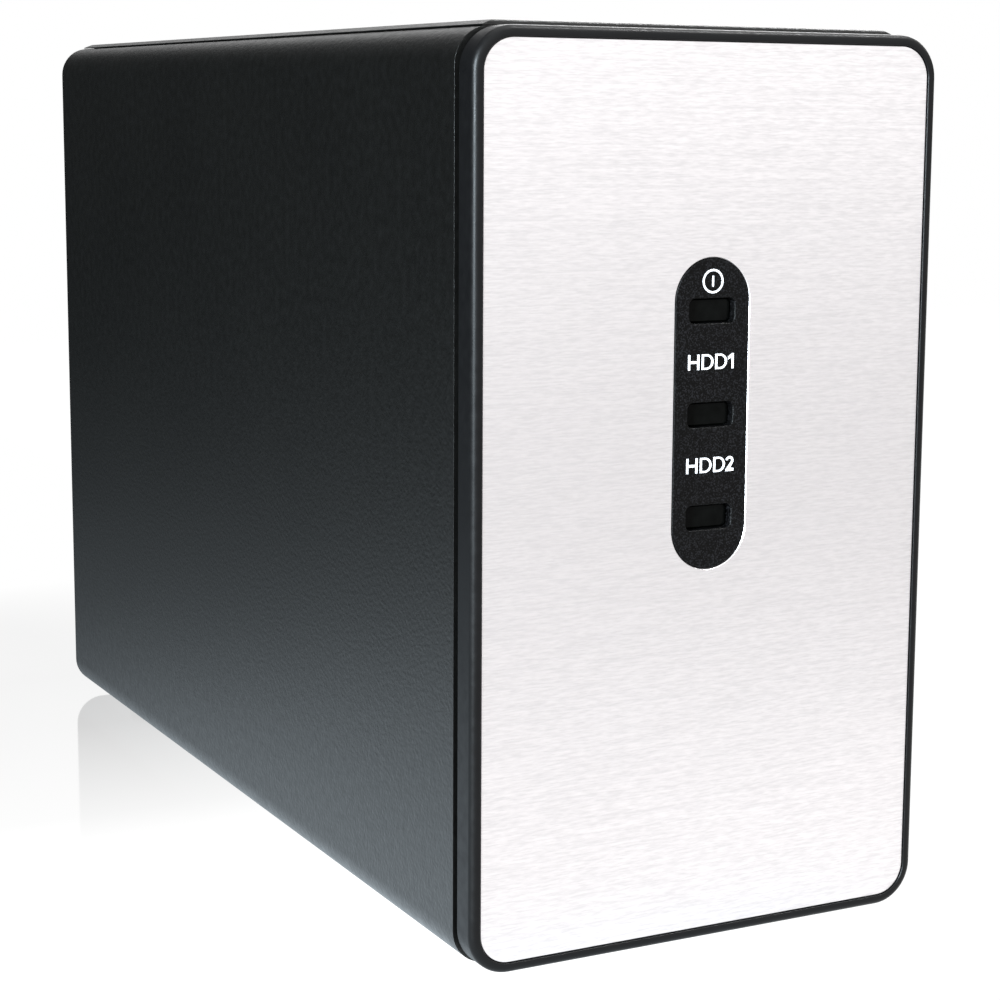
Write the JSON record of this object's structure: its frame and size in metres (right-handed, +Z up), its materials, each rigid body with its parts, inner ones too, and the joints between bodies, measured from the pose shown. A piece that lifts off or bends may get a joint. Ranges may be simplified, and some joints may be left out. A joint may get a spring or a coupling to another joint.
{
  "type": "network attached storage",
  "caption": "Upright desktop network storage unit with a brushed front plate, indicator windows, slide-off lid, rear fan and sockets.",
  "frame": {"origin": "centre of the bounding box, on the surface the feet stand on", "axes": "+Z up, -Y out of the front plate, +Y to the connector side, +X to the right seen from the front"},
  "size_m": [0.092, 0.232, 0.1629],
  "materials": {
    "bezel_plastic": "satin black moulded plastic with a soft sheen",
    "brushed_plate": "horizontally brushed, clear anodised",
    "insert_plastic": "fine matt black moulding",
    "smoked_lens": "polished smoked acrylic",
    "case_paint": "fine textured black powder coat",
    "panel_paint": "fine textured black powder coat",
    "zinc_sheet": "zinc plated sheet",
    "screw_steel": "zinc plated",
    "black_screw": "black oxide",
    "nickel": "nickel plated",
    "foot_rubber": "matt",
    "fan_plastic": "glass filled black plastic",
    "circuit_board": "green solder mask",
    "connector_plastic": "black moulding",
    "connector_metal": "tin plated",
    "chip_epoxy": "black epoxy",
    "sink_aluminium": "black-grey anodised extrusion",
    "can_aluminium": "can with printed sleeve end",
    "cell_steel": "nickel plated",
    "lamp_body": "white package",
    "drive_casting": "cast, dark e-coat",
    "drive_lid_steel": "stainless sheet",
    "lead_sheath": "PVC sheath",
    "switch_plastic": "black moulding"
  },
  "bodies": {
    "case": {"front_bezel": "bezel_plastic", "front_plate": "brushed_plate", "indicator_insert": "insert_plastic", "light_pipe_power": "smoked_lens", "light_pipe_hdd1": "smoked_lens", "light_pipe_hdd2": "smoked_lens", "indicator_board": "circuit_board", "indicator_leds": "lamp_body", "indicator_cable": "lead_sheath", "bezel_screws": "screw_steel", "body_shell": "case_paint", "front_chassis_plate": "zinc_sheet", "cover_nuts": "screw_steel", "rear_panel": "panel_paint", "rear_panel_screws": "black_screw", "foot_front_left": "foot_rubber", "foot_front_right": "foot_rubber", "foot_rear_left": "foot_rubber", "foot_rear_right": "foot_rubber", "fan_frame": "fan_plastic", "fan_motor": "connector_plastic", "fan_screws": "black_screw", "fan_cable": "lead_sheath", "drive_cage": "zinc_sheet", "drive_screws": "screw_steel", "backplane": "circuit_board", "sata_socket_1": "connector_plastic", "sata_socket_2": "connector_plastic", "backplane_slot": "connector_plastic", "mainboard": "circuit_board", "board_standoffs": "nickel", "board_and_tray_screws": "screw_steel", "processor": "chip_epoxy", "heat_sink": "sink_aluminium", "board_chips": "chip_epoxy", "capacitors": "can_aluminium", "clock_battery": "cell_steel", "battery_holder": "connector_plastic", "ethernet_jack": "connector_metal", "usb_socket_1": "connector_metal", "usb_socket_2": "connector_metal", "power_inlet": "connector_plastic", "power_switch_body": "switch_plastic", "reset_switch": "connector_plastic", "switch_cable": "lead_sheath", "cable_headers": "lamp_body", "drive_1_casting": "drive_casting", "drive_1_lid": "drive_lid_steel", "drive_1_board": "circuit_board", "drive_1_plug": "connector_plastic", "drive_2_casting": "drive_casting", "drive_2_lid": "drive_lid_steel", "drive_2_board": "circuit_board", "drive_2_plug": "connector_plastic"},
    "cover": {"top_cover": "case_paint"},
    "left_knob": {"thumbscrew_left": "black_screw"},
    "right_knob": {"thumbscrew_right": "black_screw"},
    "fan_wheel": {"fan_rotor": "fan_plastic"},
    "rocker": {"power_rocker": "switch_plastic"},
    "reset_key": {"reset_button": "lamp_body"}
  },
  "joints": [
    {"name": "cover_slide", "type": "slide", "parent": "case", "child": "cover", "axis": [0, 1, 0], "range_m": [0, 0.24]},
    {"name": "left_knob_turn", "type": "hinge", "parent": "cover", "child": "left_knob", "pos_m": [-0.026, 0.112, 0.152], "axis": [0, 1, 0], "continuous": true},
    {"name": "right_knob_turn", "type": "hinge", "parent": "cover", "child": "right_knob", "pos_m": [0.026, 0.112, 0.152], "axis": [0, 1, 0], "continuous": true},
    {"name": "fan_spin", "type": "hinge", "parent": "case", "child": "fan_wheel", "pos_m": [0, 0.097, 0.086], "axis": [0, 1, 0], "continuous": true},
    {"name": "rocker_tip", "type": "hinge", "parent": "case", "child": "rocker", "pos_m": [-0.029, 0.1095, 0.034], "axis": [1, 0, 0], "range_deg": [0, 16]},
    {"name": "reset_press", "type": "slide", "parent": "case", "child": "reset_key", "axis": [0, -1, 0], "range_m": [0, 0.0008], "stiffness_N_per_m": 400}
  ]
}
